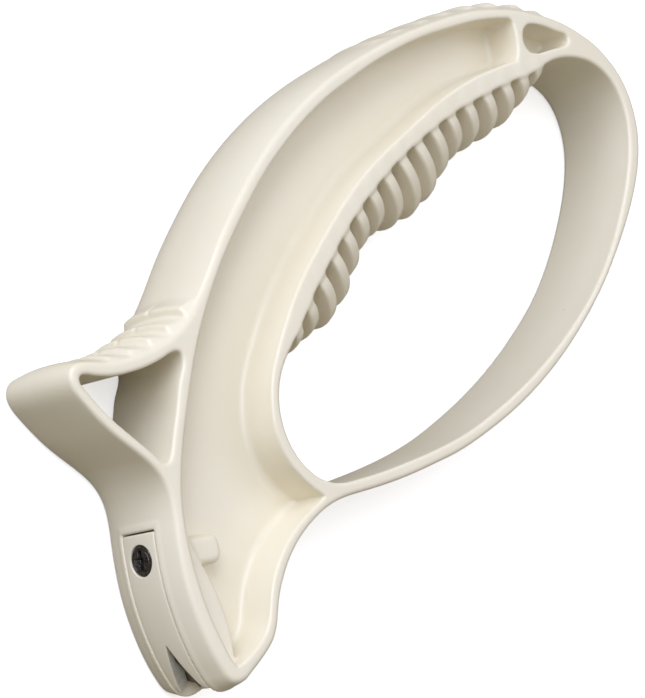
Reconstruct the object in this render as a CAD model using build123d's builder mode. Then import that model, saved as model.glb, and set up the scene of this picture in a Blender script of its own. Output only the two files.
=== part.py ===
from build123d import *
import math
import os

os.makedirs("parts", exist_ok=True)

# Hand-held V-notch blade sharpener.
# Millimetres. The tool lies on its side: +Z is the thickness direction, +X runs
# from the sharpening tip to the butt, +Y points to the spine (thumb side).

# ---------------------------------------------------------------- driving sizes
T = 16.0            # full thickness of the moulding
MID = T / 2         # mid plane, also the parting plane
WEB = 2.5           # thickness of the central web
CROWN = 1.3         # how far the outer faces bulge at the mid plane
CROWN_FLAT = 4.0    # half width of the flat middle of the bulge
FIN_T = 2.3         # thickness of one grip fin
LEDGE = 5.2         # half height of the housing behind the blade holder
INSERT_W = 7.3      # width of the blade holder
INSERT_DEPTH = 3.7  # depth of the blade holder below the outer face
INSERT_GAP = 0.12   # clearance around the blade holder
SCREW_HEAD_D = 4.5
SCREW_SHANK_D = 2.6
SCREW_LEN = 11.0    # head top to point
BOSS_W = 4.4        # width of the screw boss
SLOT_H = 7.1        # height of the V slot
SLOT_W = 4.7        # mouth width of the V slot
CARBIDE_T = 1.2
CARBIDE_W = 2.6
CARBIDE_L = 6.4
CARBIDE_LEAN = 22.0  # degrees each plate leans from the slot's centre line
CARBIDE_D1 = 0.85    # depth of the front plate behind the front face
V_APEX = 0.4         # height of the cutting V above the mouth of the slot
HEAD_H = 1.8
CX, CY = 18.975, -2.857   # moves the drawing datum to the centre of the box


def P(x, y):
    """A point of the drawing, in the part's own frame."""
    return (x - CX, y - CY)


def PL(pts):
    return [P(x, y) for x, y in pts]


def level(z):
    return Plane.XY.offset(z)


# ---------------------------------------------------------------- outline, rim level
SPINE = [(86.2, -0.6), (84.0, 2.0), (81.1, 5.0), (77.4, 8.2), (72.5, 11.8), (66.5, 15.2),
         (60.0, 18.3), (52.5, 21.4), (45.0, 23.9), (37.0, 26.0), (29.0, 27.3), (21.0, 27.8),
         (13.0, 27.5), (5.0, 26.4), (-2.5, 24.9), (-9.5, 23.0), (-14.5, 21.9)]
THUMB_TOP = [(-14.5, 21.9), (-18.0, 21.7), (-21.5, 22.2), (-25.0, 23.3), (-28.5, 24.9),
             (-31.2, 26.5), (-33.6, 28.3), (-35.4, 30.1), (-36.9, 31.4), (-38.4, 32.0),
             (-40.0, 31.4), (-40.9, 29.8), (-41.1, 27.4)]
FRONT = [(-41.1, 27.4), (-41.0, 24.0), (-40.6, 20.5), (-39.9, 17.2), (-39.2, 14.0),
         (-38.9, 11.2), (-39.4, 8.4), (-40.9, 5.7), (-43.4, 2.7), (-46.0, -0.5),
         (-48.4, -4.0), (-50.3, -7.6), (-51.8, -11.2), (-52.8, -14.6), (-53.3, -17.4)]
TIP = [(-53.3, -17.4), (-53.2, -18.8), (-52.3, -20.0), (-50.8, -20.7)]
BELLY = [(-50.8, -20.7), (-48.4, -20.9), (-45.0, -21.1), (-42.5, -20.9), (-40.0, -19.9),
         (-37.3, -18.2), (-34.0, -16.7), (-30.5, -15.7), (-27.0, -15.3), (-23.0, -15.5),
         (-19.0, -16.3), (-15.5, -17.7), (-12.0, -19.8)]
STRAP_OUT = [(-12.0, -19.8), (-8.4, -22.1), (-4.4, -24.5), (0.0, -26.9), (4.4, -29.1),
             (9.0, -31.3), (14.0, -33.2), (19.6, -35.0), (25.6, -36.6), (31.7, -37.8),
             (38.0, -38.6), (45.0, -39.0), (52.0, -38.9), (59.0, -38.3), (66.0, -37.1),
             (72.4, -35.6), (78.0, -33.8), (83.0, -31.5), (86.8, -28.8), (89.6, -25.6),
             (91.5, -22.0), (92.5, -18.0), (92.4, -14.0), (91.6, -10.2), (90.2, -6.9),
             (88.4, -3.6), (86.2, -0.6)]

# ---------------------------------------------------------------- finger opening
HOLE_LEFT = [(-4.2, 4.6), (-6.9, 4.1), (-10.2, 2.9), (-12.8, 1.1), (-14.9, -1.3),
             (-16.4, -4.3), (-17.0, -7.4), (-16.9, -10.1), (-16.2, -12.6), (-14.9, -14.8)]
HOLE_STRAP = [(-14.9, -14.8), (-13.2, -16.5), (-10.5, -18.4), (-6.7, -20.8), (-2.7, -23.1),
              (1.5, -25.4), (5.8, -27.6), (10.6, -29.8), (15.8, -31.8), (21.5, -33.5),
              (27.5, -35.0), (33.8, -36.2), (40.9, -37.1), (48.6, -37.5), (55.0, -37.4),
              (61.5, -36.6), (67.5, -35.2), (73.0, -33.4), (78.5, -31.1), (83.0, -28.5),
              (86.4, -25.6), (88.7, -22.2), (89.8, -18.4), (89.5, -15.0), (88.4, -12.3),
              (86.6, -9.9), (84.2, -7.7), (81.5, -6.0), (78.6, -4.9)]
GRIP_LINE = [(78.6, -4.9), (74.9, -3.8), (70.5, -1.8), (65.7, 0.2), (60.6, 2.1), (55.7, 3.8),
             (50.9, 5.1), (46.0, 6.2), (41.2, 7.1), (36.2, 7.8), (31.5, 8.2), (26.6, 8.4),
             (21.6, 8.3), (16.7, 7.9), (11.9, 7.3), (6.7, 6.6), (1.4, 5.5), (-4.2, 4.6)]
# tips of the fins at the mid plane (three finger dividers)
FIN_TIPS = [(78.1, -7.0), (75.6, -7.8), (72.6, -7.9), (69.6, -8.0), (66.6, -7.5), (63.6, -6.6),
            (60.6, -5.8), (57.6, -4.5), (54.6, -3.5), (51.6, -3.1), (48.6, -3.4), (45.6, -3.9),
            (42.6, -4.0), (39.6, -3.5), (36.6, -2.8), (33.6, -1.4), (30.6, 0.2), (27.6, 1.3),
            (24.6, 1.4), (21.6, 0.8), (18.6, -0.1), (15.6, -1.2), (12.6, -1.7), (9.6, -1.6),
            (5.6, -0.2), (2.6, 0.8), (-0.4, 1.6)]
FIN_AT = [-1.0, 4.05, 9.3, 14.3, 19.15, 24.1, 29.05, 33.85, 38.7, 43.6, 48.45, 53.3, 58.15,
          63.15, 68.1, 72.7, 77.0]    # fin centre lines along the grip

# bulge of the spine at the mid plane, one for each point of SPINE: higher at the palm
SPINE_CROWN = [2.0, 2.1, 2.2, 2.2, 2.2, 2.1, 2.0, 1.8, 1.5, 1.4, 1.3, 1.3, 1.3, 1.3, 1.3, 1.3, 1.3]
PALM_RIBS = [(52.35, 22.4), (58.0, 20.4), (63.7, 17.9), (69.2, 15.1), (74.3, 12.0), (79.1, 8.4),
             (83.3, 4.5), (87.0, 0.4), (89.3, -3.6)]
THUMB_RIBS = [(-15.5, 22.4), (-20.1, 22.6), (-24.6, 23.8), (-28.9, 25.75), (-32.6, 28.2)]

# ---------------------------------------------------------------- pockets
POCKET_TOP = [(77.7, 6.3), (74.0, 9.0), (69.6, 11.7), (65.0, 14.1), (60.4, 16.4), (55.5, 18.5),
              (50.5, 20.3), (45.3, 21.9), (39.6, 23.3), (33.8, 24.6), (28.0, 25.4), (21.3, 25.8),
              (13.0, 25.6), (7.2, 24.9), (0.7, 23.8), (-5.2, 22.5), (-10.9, 20.8),
              (-16.1, 18.9), (-20.7, 16.8)]
POCKET_FRONT = [(-20.7, 16.8), (-26.0, 13.9), (-31.0, 11.0), (-36.0, 7.6), (-39.4, 4.6),
                (-42.0, 1.6), (-44.3, -1.6), (-46.4, -5.1), (-48.1, -8.6), (-49.4, -12.0),
                (-50.3, -15.0), (-50.8, -17.0), (-50.9, -18.2)]
# inner edge of the housing that backs the blade holder, lower than the rim
HOUSING_EDGE = [(-37.6, 2.9), (-40.0, 0.1), (-41.2, -2.7), (-41.8, -5.7), (-42.6, -8.9), (-44.0, -12.3),
                (-45.6, -15.3), (-47.6, -17.9), (-49.1, -19.7)]
POCKET_BELLY = [(-50.9, -18.2), (-49.2, -18.8), (-46.5, -19.2), (-43.4, -19.2), (-41.0, -18.5),
                (-38.6, -17.0), (-35.8, -15.4), (-33.2, -14.5), (-30.5, -13.9), (-27.6, -13.7),
                (-24.4, -13.8), (-21.5, -14.2), (-18.0, -14.9)]
POCKET_NECK = [(-18.0, -14.9), (-18.6, -12.6), (-19.0, -9.9), (-19.1, -7.2), (-18.6, -4.3),
               (-17.4, -1.5), (-15.7, 0.7), (-13.9, 2.4), (-11.6, 4.1), (-8.8, 5.5),
               (-5.2, 6.9), (0.1, 8.6), (6.9, 10.1), (14.5, 11.0), (21.0, 11.5), (27.4, 11.6),
               (34.0, 11.1), (42.9, 9.7), (48.7, 8.7), (54.2, 7.6), (59.2, 6.2), (64.3, 4.4),
               (69.3, 2.2), (73.4, 0.2)]
POCKET_END = [(73.4, 0.2), (74.6, 0.7), (76.2, 2.1), (77.7, 4.0), (78.3, 5.4), (77.7, 6.3)]
TEARDROP = [(78.9, 2.2), (77.8, 1.2), (77.3, 0.0), (77.6, -1.3), (78.8, -2.5), (81.3, -3.9),
            (83.9, -5.3), (85.6, -6.1), (86.8, -6.1), (87.2, -5.3), (86.2, -3.6), (84.8, -1.6),
            (83.2, 0.4), (82.0, 1.6), (80.5, 2.4)]
THUMB_HOLE = [(-22.0, 18.6), (-21.7, 19.4), (-22.3, 20.2), (-24.6, 21.1), (-26.8, 21.9), (-28.8, 22.8),
              (-30.6, 23.8), (-32.4, 24.9), (-33.9, 26.0), (-35.4, 27.3), (-36.6, 28.6),
              (-37.7, 29.8), (-38.6, 30.2), (-39.2, 29.6), (-39.4, 28.2), (-39.4, 25.9),
              (-39.2, 23.0), (-38.8, 20.2), (-38.3, 17.6), (-37.8, 15.0), (-37.4, 12.6),
              (-37.1, 11.2), (-36.3, 10.6), (-35.3, 10.8), (-33.0, 12.1), (-30.4, 13.6),
              (-27.7, 15.2), (-25.1, 16.8)]

# ---------------------------------------------------------------- holder and screw axis
AX = P(-46.25, 0.95)                   # screw head centre on the crowned front face
ADIR = (0.790, -0.613)                 # screw axis, pointing into the body
TDIR = (-0.613, -0.790)                # along the face, towards the tip
HOLDER_RUN = [(-42.85, 3.40)] + FRONT[8:] + [(-53.3, -18.7)]   # rim line beside the holder
SLOT_M = P(-54.3, -17.6)               # mouth of the V slot on the front face
SLOT_UP = (0.220, 0.9755)              # from the mouth to the top of the slot
SLOT_IN = (0.9755, -0.220)             # along the blade that passes through the slot


def on_axis(d, s=0.0):
    """Point on the drawing, d along the screw axis into the body, s along the face."""
    return (AX[0] + ADIR[0] * d + TDIR[0] * s, AX[1] + ADIR[1] * d + TDIR[1] * s)


def axis_plane(d):
    """Plane normal to the screw axis, d into the body, normal pointing outwards."""
    x, y = on_axis(d)
    return Plane(origin=(x, y, MID), x_dir=(0, 0, 1), z_dir=(-ADIR[0], -ADIR[1], 0))


def slot_plane(depth):
    """Plane across the blade path: local x is up the slot, local y is +/-Z."""
    return Plane(origin=(SLOT_M[0] + SLOT_IN[0] * depth, SLOT_M[1] + SLOT_IN[1] * depth, MID),
                 x_dir=(SLOT_UP[0], SLOT_UP[1], 0), z_dir=(SLOT_IN[0], SLOT_IN[1], 0))


def grip_at(gx):
    """Root of the fin at gx on the grip line, and its reach at the mid plane."""
    gy = interp(sorted(GRIP_LINE), gx)
    return gy, max(2.2, gy - interp(sorted(FIN_TIPS), gx))


def interp(pts, x):
    if x <= pts[0][0]:
        return pts[0][1]
    for (x0, y0), (x1, y1) in zip(pts, pts[1:]):
        if x <= x1:
            return y0 + (y1 - y0) * (x - x0) / (x1 - x0)
    return pts[-1][1]


def offset_curve(pts, dist):
    """Open polyline moved sideways (positive to the right of its direction), by one
    distance or by one for each point."""
    out = []
    steps = dist if isinstance(dist, list) else [dist] * len(pts)
    for i, (x, y) in enumerate(pts):
        dist = steps[i]
        x0, y0 = pts[max(i - 1, 0)]
        x1, y1 = pts[min(i + 1, len(pts) - 1)]
        dx, dy = x1 - x0, y1 - y0
        n = math.hypot(dx, dy)
        out.append((x + dy / n * dist, y - dx / n * dist))
    return out


# ================================================================ handle body
# bands that make the crowned outer faces: outer curve, then a line inside the wall
def band(pts, crown):
    out = offset_curve(pts, crown)
    inn = offset_curve(pts, -0.9)
    rim = offset_curve(pts, 0.12)
    return PL(out), PL(rim), PL(inn)


spine_band = band(SPINE, SPINE_CROWN)
thumb_band = band(THUMB_TOP[1:-2], CROWN)
front_band = band(FRONT[6:] + [(-53.1, -18.9), (-52.2, -20.1), (-50.8, -20.8)], CROWN)
belly_band = band([(-51.6, -20.5), (-50.0, -20.9), (-47.0, -21.05), (-44.4, -21.0), (-42.0, -20.7),
                   (-40.0, -19.9)], CROWN)

# holder outline and its seat, both following the crowned front face
run_out = offset_curve(HOLDER_RUN, CROWN)
run_in = offset_curve(HOLDER_RUN, CROWN - INSERT_DEPTH)
run_in[0] = (run_out[0][0] + ADIR[0] * INSERT_DEPTH, run_out[0][1] + ADIR[1] * INSERT_DEPTH)
HOLD_OUT, HOLD_IN = PL(run_out), PL(run_in)
seat_out = offset_curve(HOLDER_RUN, CROWN + 3.0)
seat_in = offset_curve(HOLDER_RUN, CROWN - INSERT_DEPTH - INSERT_GAP)
top = (run_out[0][0] + TDIR[0] * -INSERT_GAP, run_out[0][1] + TDIR[1] * -INSERT_GAP)
seat_out[0] = (top[0] - ADIR[0] * 3.0, top[1] - ADIR[1] * 3.0)
seat_in[0] = (top[0] + ADIR[0] * (INSERT_DEPTH + INSERT_GAP), top[1] + ADIR[1] * (INSERT_DEPTH + INSERT_GAP))
for curve in (seat_out, seat_in):
    (xa, ya), (xb, yb) = curve[-2], curve[-1]
    n = math.hypot(xb - xa, yb - ya)
    curve.append((xb + (xb - xa) / n * 5.0, yb + (yb - ya) / n * 5.0))
SEAT_OUT, SEAT_IN = PL(seat_out), PL(seat_in)


def carbide_centre(lean):
    """Centre of a plate in the slot plane: its inner edge passes through the V apex."""
    a = math.radians(CARBIDE_LEAN)
    along, across = 1.6, CARBIDE_W / 2
    return (V_APEX + math.cos(a) * along + math.sin(a) * across,
            lean * (-math.sin(a) * along + math.cos(a) * across))


with BuildPart() as handle_body:
    # full-thickness plate with the finger opening and the thumb opening
    with BuildSketch(level(0)) as outline:
        with BuildLine():
            Spline(*PL(SPINE))
            Spline(*PL(THUMB_TOP))
            Spline(*PL(FRONT))
            Spline(*PL(TIP))
            Spline(*PL(BELLY))
            Spline(*PL(STRAP_OUT))
        make_face()
        with BuildLine(mode=Mode.ADD):
            Spline(*PL(HOLE_LEFT))
            Spline(*PL(HOLE_STRAP))
            Spline(*PL(GRIP_LINE))
        make_face(mode=Mode.SUBTRACT)
        with BuildLine(mode=Mode.ADD):
            Spline(*PL(THUMB_HOLE), periodic=True)
        make_face(mode=Mode.SUBTRACT)
    extrude(amount=T)
    # crowned outer faces: a flat middle and a sloping flank on each side
    for out_pts, rim_pts, in_pts in (spine_band, thumb_band, front_band, belly_band):
        with BuildSketch(level(MID)) as crown_mid:
            with BuildLine():
                Spline(*out_pts)
                Line(out_pts[-1], in_pts[-1])
                Spline(*in_pts[::-1])
                Line(in_pts[0], out_pts[0])
            make_face()
        extrude(amount=CROWN_FLAT, both=True)
        for z0, z1 in ((MID + CROWN_FLAT, T - 0.5), (MID - CROWN_FLAT, 0.5)):
            with BuildSketch(level(z0)) as crown_low:
                with BuildLine():
                    Spline(*out_pts)
                    Line(out_pts[-1], in_pts[-1])
                    Spline(*in_pts[::-1])
                    Line(in_pts[0], out_pts[0])
                make_face()
            with BuildSketch(level(z1)) as crown_rim:
                with BuildLine():
                    Spline(*rim_pts)
                    Line(rim_pts[-1], in_pts[-1])
                    Spline(*in_pts[::-1])
                    Line(in_pts[0], rim_pts[0])
                make_face()
            loft(ruled=True)

    # shallow palm ribs over the butt and thumb ribs on the thumb rest
    for pts, size, half in ((PALM_RIBS, 1.25, 4.4), (THUMB_RIBS, 1.15, 6.0)):
        with BuildSketch(level(MID)) as ribs:
            with Locations(*PL(pts)):
                Circle(size)
        extrude(amount=half, both=True)
    # one open pocket on each side of the central web, and the small one at the butt
    for z, h in ((MID + WEB / 2, T), (MID - WEB / 2, -T)):
        with BuildSketch(level(z)) as pockets:
            with BuildLine():
                Spline(*PL(POCKET_TOP))
                Spline(*PL(POCKET_FRONT))
                Spline(*PL(POCKET_BELLY))
                Spline(*PL(POCKET_NECK))
                Spline(*PL(POCKET_END))
            make_face()
            with BuildLine(mode=Mode.ADD):
                Spline(*PL(TEARDROP), periodic=True)
            make_face()
        extrude(amount=h, mode=Mode.SUBTRACT)
    # grip fins: half ellipses standing on the central web, from rim to mid plane
    for gx in FIN_AT:
        gy, reach = grip_at(gx)
        x, y = P(gx, gy)
        with BuildSketch(Plane(origin=(x, y, MID), x_dir=(0, -1, 0), z_dir=(-1, 0, 0))) as fin:
            Ellipse(reach, T / 2 - 0.25)
            with Locations((-1.0, 0)):
                Rectangle(reach + 2, T, align=(Align.MIN, Align.CENTER), mode=Mode.INTERSECT)
        extrude(amount=FIN_T / 2, both=True)
    with BuildSketch(level(MID - WEB / 2)) as grip_web:
        with BuildLine():
            Polyline(*PL([(x, y + 1.2) for x, y in FIN_TIPS[:-1]]), P(-0.5, 3.2), P(-3.6, 5.2),
                     *PL([(x, y + 0.8) for x, y in GRIP_LINE[::-1][1:]]), P(80.5, -5.0), close=True)
        make_face()
    extrude(amount=WEB)
    # housing behind the blade holder, and the screw boss that runs back from it
    with BuildSketch(level(MID)) as housing:
        with BuildLine():
            edge = offset_curve(FRONT[7:] + [(-53.1, -18.9)], -1.0)
            Spline(*PL(HOUSING_EDGE))
            Line(P(*HOUSING_EDGE[-1]), P(*edge[-1]))
            Spline(*PL(edge[::-1]))
            Line(P(*edge[0]), P(*HOUSING_EDGE[0]))
        make_face()
    extrude(amount=LEDGE, both=True)
    with BuildSketch(axis_plane(3.0)) as boss:
        RectangleRounded(2 * LEDGE, BOSS_W, 1.2)
    extrude(amount=-8.8)
    # seat for the blade holder, open to the front and at the tip
    with BuildSketch(level(MID)) as seat:
        with BuildLine():
            Spline(*SEAT_OUT)
            Line(SEAT_OUT[-1], SEAT_IN[-1])
            Spline(*SEAT_IN[::-1])
            Line(SEAT_IN[0], SEAT_OUT[0])
        make_face()
    extrude(amount=INSERT_W / 2 + INSERT_GAP, both=True, mode=Mode.SUBTRACT)
    # pilot bore for the screw
    with BuildSketch(axis_plane(0)) as bore:
        Circle(SCREW_SHANK_D / 2 + 0.08)
    extrude(amount=-(SCREW_LEN + 0.4), mode=Mode.SUBTRACT)
    # blade path through the nose, open downwards
    with BuildSketch(slot_plane(2.0)) as path:
        with BuildLine():
            Polyline((0.9, 0), (-6.0, 3.0), (-6.0, -3.0), close=True)
        make_face()
    extrude(amount=16, mode=Mode.SUBTRACT)
handle_body.part.label = "handle_body"

# ================================================================ blade holder
with BuildPart() as blade_holder:
    with BuildSketch(level(MID)) as holder_face:
        with BuildLine():
            Spline(*HOLD_OUT)
            Line(HOLD_OUT[-1], HOLD_IN[-1])
            Spline(*HOLD_IN[::-1])
            Line(HOLD_IN[0], HOLD_OUT[0])
        make_face()
    extrude(amount=INSERT_W / 2, both=True)
    # V slot for the knife
    with BuildSketch(slot_plane(-3.0)) as v_slot:
        with BuildLine():
            k = SLOT_W / 2 / SLOT_H
            Polyline((SLOT_H, 0.15), (-4.0, k * (SLOT_H + 4.0)), (-4.0, -k * (SLOT_H + 4.0)),
                     (SLOT_H, -0.15), close=True)
        make_face()
    extrude(amount=10, mode=Mode.SUBTRACT)
    # crossed recesses for the two carbide plates
    for lean, depth in ((1, CARBIDE_D1), (-1, CARBIDE_D1 + CARBIDE_T)):
        with BuildSketch(slot_plane(depth)) as cell:
            with Locations(Location((carbide_centre(lean)[0], carbide_centre(lean)[1], 0), -CARBIDE_LEAN * lean)):
                Rectangle(CARBIDE_L + 0.06, CARBIDE_W + 0.06)
        extrude(amount=6, mode=Mode.SUBTRACT)
    # seat for the screw head and clearance for its shank
    with BuildSketch(axis_plane(-2.0)) as head_seat:
        Circle(SCREW_HEAD_D / 2 + 0.3)
    extrude(amount=-(2.0 + HEAD_H - 0.15), mode=Mode.SUBTRACT)
    with BuildSketch(axis_plane(-2.0)) as shank_hole:
        Circle(SCREW_SHANK_D / 2 + 0.06)
    extrude(amount=-9.0, mode=Mode.SUBTRACT)
blade_holder.part.label = "blade_holder"

# ================================================================ carbide plates
plates = []
for name, lean, depth in (("carbide_front", 1, CARBIDE_D1), ("carbide_rear", -1, CARBIDE_D1 + CARBIDE_T)):
    with BuildPart() as plate:
        with BuildSketch(slot_plane(depth + 0.01)) as plate_face:
            with Locations(Location((carbide_centre(lean)[0], carbide_centre(lean)[1], 0), -CARBIDE_LEAN * lean)):
                Rectangle(CARBIDE_L, CARBIDE_W)
        extrude(amount=CARBIDE_T - 0.02)
        chamfer(plate.edges().filter_by(GeomType.LINE).group_by(SortBy.LENGTH)[-1], 0.2)
    plate.part.label = name
    plates.append(plate)

# ================================================================ screw
with BuildPart() as holder_screw:
    with BuildSketch(axis_plane(-0.15)) as head:
        Circle(SCREW_HEAD_D / 2)
    extrude(amount=-HEAD_H)
    fillet(holder_screw.edges().group_by(Axis((AX[0], AX[1], MID), (-ADIR[0], -ADIR[1], 0)))[-1], 0.6)
    with BuildSketch(axis_plane(HEAD_H - 0.15)) as shank:
        Circle(SCREW_SHANK_D / 2)
    extrude(amount=-(SCREW_LEN - HEAD_H - 0.9))
    with BuildSketch(axis_plane(SCREW_LEN - 1.05)) as root:
        Circle(SCREW_SHANK_D / 2)
    with BuildSketch(axis_plane(SCREW_LEN + 0.1)) as point:
        Circle(0.35)
    loft()
    # cross recess
    with BuildSketch(axis_plane(-0.3)) as cross:
        Rectangle(2.7, 0.62)
        Rectangle(0.62, 2.7)
    extrude(amount=-1.35, mode=Mode.SUBTRACT)
holder_screw.part.label = "holder_screw"

for piece in (handle_body, blade_holder, *plates, holder_screw):
    export_step(piece.part, "parts/" + piece.part.label + ".step")
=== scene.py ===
import math
import bpy
import numpy as np
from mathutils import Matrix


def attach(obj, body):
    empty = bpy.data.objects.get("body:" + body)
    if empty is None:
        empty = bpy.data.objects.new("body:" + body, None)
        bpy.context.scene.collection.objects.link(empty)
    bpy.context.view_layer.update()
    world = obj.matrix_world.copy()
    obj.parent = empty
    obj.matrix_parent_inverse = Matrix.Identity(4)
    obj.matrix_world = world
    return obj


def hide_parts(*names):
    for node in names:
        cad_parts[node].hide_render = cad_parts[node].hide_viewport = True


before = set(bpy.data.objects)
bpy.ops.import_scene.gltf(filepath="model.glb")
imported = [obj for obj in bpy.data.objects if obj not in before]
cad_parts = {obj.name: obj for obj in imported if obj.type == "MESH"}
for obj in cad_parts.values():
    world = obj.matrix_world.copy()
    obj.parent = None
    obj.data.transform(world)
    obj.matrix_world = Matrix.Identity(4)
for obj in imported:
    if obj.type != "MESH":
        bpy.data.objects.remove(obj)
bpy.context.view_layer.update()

import openvdb
from mathutils import Matrix, Vector

# Hand-held V-notch blade sharpener. The frame's bodies are "handle", "holder" and "screw".
# The shapes are worked out as signed distances on a grid, in the drawing's millimetres
# (the same datum as the CAD drawing), and then placed in the frame in metres.

STEP = 0.3
CX, CY = 18.975, -2.857      # drawing datum to frame origin, mm
MID = 8.0
HALF = 8.0                   # half thickness
WEB = 2.5
INSERT_W, INSERT_DEPTH, INSERT_GAP = 7.3, 3.7, 0.12
CROWN = 1.3

SPINE = [(86.2, -0.6), (84.0, 2.0), (81.1, 5.0), (77.4, 8.2), (72.5, 11.8), (66.5, 15.2),
         (60.0, 18.3), (52.5, 21.4), (45.0, 23.9), (37.0, 26.0), (29.0, 27.3), (21.0, 27.8),
         (13.0, 27.5), (5.0, 26.4), (-2.5, 24.9), (-9.5, 23.0), (-14.5, 21.9)]
THUMB_TOP = [(-14.5, 21.9), (-18.0, 21.7), (-21.5, 22.2), (-25.0, 23.3), (-28.5, 24.9),
             (-31.2, 26.5), (-33.6, 28.3), (-35.4, 30.1), (-36.9, 31.4), (-38.4, 32.0),
             (-40.0, 31.4), (-40.9, 29.8), (-41.1, 27.4)]
FRONT = [(-41.1, 27.4), (-41.0, 24.0), (-40.6, 20.5), (-39.9, 17.2), (-39.2, 14.0),
         (-38.9, 11.2), (-39.4, 8.4), (-40.9, 5.7), (-43.4, 2.7), (-46.0, -0.5),
         (-48.4, -4.0), (-50.3, -7.6), (-51.8, -11.2), (-52.8, -14.6), (-53.3, -17.4)]
TIP = [(-53.3, -17.4), (-53.2, -18.8), (-52.3, -20.0), (-50.8, -20.7)]
BELLY = [(-50.8, -20.7), (-48.4, -20.9), (-45.0, -21.1), (-42.5, -20.9), (-40.0, -19.9),
         (-37.3, -18.2), (-34.0, -16.7), (-30.5, -15.7), (-27.0, -15.3), (-23.0, -15.5),
         (-19.0, -16.3), (-15.5, -17.7), (-12.0, -19.8)]
STRAP_OUT = [(-12.0, -19.8), (-8.4, -22.1), (-4.4, -24.5), (0.0, -26.9), (4.4, -29.1),
             (9.0, -31.3), (14.0, -33.2), (19.6, -35.0), (25.6, -36.6), (31.7, -37.8),
             (38.0, -38.6), (45.0, -39.0), (52.0, -38.9), (59.0, -38.3), (66.0, -37.1),
             (72.4, -35.6), (78.0, -33.8), (83.0, -31.5), (86.8, -28.8), (89.6, -25.6),
             (91.5, -22.0), (92.5, -18.0), (92.4, -14.0), (91.6, -10.2), (90.2, -6.9),
             (88.4, -3.6), (86.2, -0.6)]

# ---------------------------------------------------------------- finger opening
HOLE_LEFT = [(-4.2, 4.6), (-6.9, 4.1), (-10.2, 2.9), (-12.8, 1.1), (-14.9, -1.3),
             (-16.4, -4.3), (-17.0, -7.4), (-16.9, -10.1), (-16.2, -12.6), (-14.9, -14.8)]
HOLE_STRAP = [(-14.9, -14.8), (-13.2, -16.5), (-10.5, -18.4), (-6.7, -20.8), (-2.7, -23.1),
              (1.5, -25.4), (5.8, -27.6), (10.6, -29.8), (15.8, -31.8), (21.5, -33.5),
              (27.5, -35.0), (33.8, -36.2), (40.9, -37.1), (48.6, -37.5), (55.0, -37.4),
              (61.5, -36.6), (67.5, -35.2), (73.0, -33.4), (78.5, -31.1), (83.0, -28.5),
              (86.4, -25.6), (88.7, -22.2), (89.8, -18.4), (89.5, -15.0), (88.4, -12.3),
              (86.6, -9.9), (84.2, -7.7), (81.5, -6.0), (78.6, -4.9)]
GRIP_LINE = [(78.6, -4.9), (74.9, -3.8), (70.5, -1.8), (65.7, 0.2), (60.6, 2.1), (55.7, 3.8),
             (50.9, 5.1), (46.0, 6.2), (41.2, 7.1), (36.2, 7.8), (31.5, 8.2), (26.6, 8.4),
             (21.6, 8.3), (16.7, 7.9), (11.9, 7.3), (6.7, 6.6), (1.4, 5.5), (-4.2, 4.6)]
# tips of the fins at the mid plane (three finger dividers)
FIN_TIPS = [(78.1, -7.0), (75.6, -7.8), (72.6, -7.9), (69.6, -8.0), (66.6, -7.5), (63.6, -6.6),
            (60.6, -5.8), (57.6, -4.5), (54.6, -3.5), (51.6, -3.1), (48.6, -3.4), (45.6, -3.9),
            (42.6, -4.0), (39.6, -3.5), (36.6, -2.8), (33.6, -1.4), (30.6, 0.2), (27.6, 1.3),
            (24.6, 1.4), (21.6, 0.8), (18.6, -0.1), (15.6, -1.2), (12.6, -1.7), (9.6, -1.6),
            (5.6, -0.2), (2.6, 0.8), (-0.4, 1.6)]
FIN_AT = [-1.0, 4.05, 9.3, 14.3, 19.15, 24.1, 29.05, 33.85, 38.7, 43.6, 48.45, 53.3, 58.15,
          63.15, 68.1, 72.7, 77.0]    # fin centre lines along the grip

# bulge of the spine at the mid plane, one for each point of SPINE: higher at the palm
SPINE_CROWN = [2.0, 2.1, 2.2, 2.2, 2.2, 2.1, 2.0, 1.8, 1.5, 1.4, 1.3, 1.3, 1.3, 1.3, 1.3, 1.3, 1.3]
PALM_RIBS = [(52.35, 22.4), (58.0, 20.4), (63.7, 17.9), (69.2, 15.1), (74.3, 12.0), (79.1, 8.4),
             (83.3, 4.5), (87.0, 0.4), (89.3, -3.6)]
THUMB_RIBS = [(-15.5, 22.4), (-20.1, 22.6), (-24.6, 23.8), (-28.9, 25.75), (-32.6, 28.2)]

# ---------------------------------------------------------------- pockets
POCKET_TOP = [(77.7, 6.3), (74.0, 9.0), (69.6, 11.7), (65.0, 14.1), (60.4, 16.4), (55.5, 18.5),
              (50.5, 20.3), (45.3, 21.9), (39.6, 23.3), (33.8, 24.6), (28.0, 25.4), (21.3, 25.8),
              (13.0, 25.6), (7.2, 24.9), (0.7, 23.8), (-5.2, 22.5), (-10.9, 20.8),
              (-16.1, 18.9), (-20.7, 16.8)]
POCKET_FRONT = [(-20.7, 16.8), (-26.0, 13.9), (-31.0, 11.0), (-36.0, 7.6), (-39.4, 4.6),
                (-42.0, 1.6), (-44.3, -1.6), (-46.4, -5.1), (-48.1, -8.6), (-49.4, -12.0),
                (-50.3, -15.0), (-50.8, -17.0), (-50.9, -18.2)]
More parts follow.
